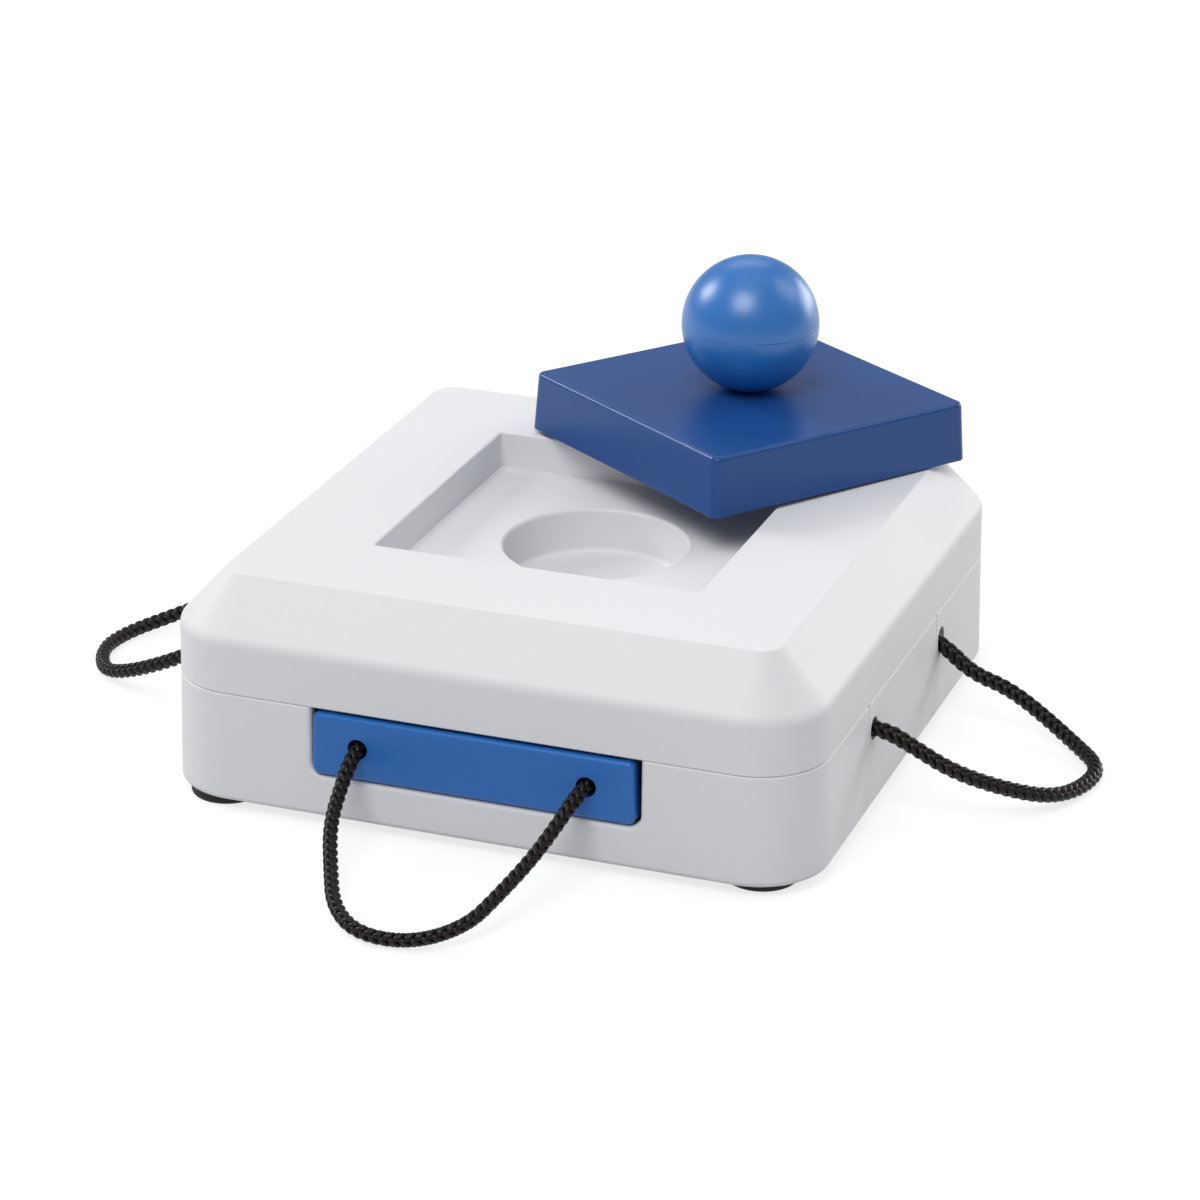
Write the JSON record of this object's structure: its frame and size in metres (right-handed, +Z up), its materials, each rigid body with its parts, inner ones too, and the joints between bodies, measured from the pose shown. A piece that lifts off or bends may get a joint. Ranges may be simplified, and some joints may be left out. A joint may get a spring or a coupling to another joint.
{
  "type": "dog treat puzzle box",
  "caption": "Square puzzle box for dog treats: a white housing with a recess and bowl on top, a pull-cord drawer in front, side cord loops and a loose lid with a ball knob.",
  "frame": {"origin": "on the surface that the feet stand on, under the middle of the housing", "axes": "+Z up, -Y towards the drawer's front, +X to the right of somebody who faces the drawer"},
  "size_m": [0.2112, 0.1947, 0.0858],
  "materials": {
    "white_abs": "moulded ABS, fine satin texture",
    "mid_blue_abs": "moulded ABS, semi-gloss",
    "navy_abs": "moulded ABS, semi-gloss",
    "blue_abs": "moulded ABS, semi-gloss",
    "black_braid": "coarse eight-strand polyester braid",
    "black_rubber": "moulded rubber, matte",
    "zinc_steel": "zinc plated"
  },
  "bodies": {
    "housing": {"upper_shell": "white_abs", "lower_shell": "white_abs", "shell_screws": "zinc_steel", "foot_front_left": "black_rubber", "foot_front_right": "black_rubber", "foot_rear_left": "black_rubber", "foot_rear_right": "black_rubber", "right_cord": "black_braid", "right_cord_front_knot": "black_braid", "right_cord_rear_knot": "black_braid", "left_cord": "black_braid", "left_cord_front_knot": "black_braid", "left_cord_rear_knot": "black_braid"},
    "drawer": {"drawer": "mid_blue_abs", "drawer_cord": "black_braid", "drawer_cord_left_knot": "black_braid", "drawer_cord_right_knot": "black_braid"},
    "lid": {"lid_cap": "navy_abs", "knob_lower_half": "blue_abs", "knob_upper_half": "blue_abs", "knob_screw": "zinc_steel", "knob_washer": "zinc_steel"}
  },
  "joints": [
    {"name": "drawer_slide", "type": "slide", "parent": "housing", "child": "drawer", "axis": [0, -1, 0], "range_m": [0, 0.06]},
    {"name": "lid_lift", "type": "slide", "parent": "housing", "child": "lid", "axis": [0, 0, 1], "range_m": [0, 0.08]}
  ]
}
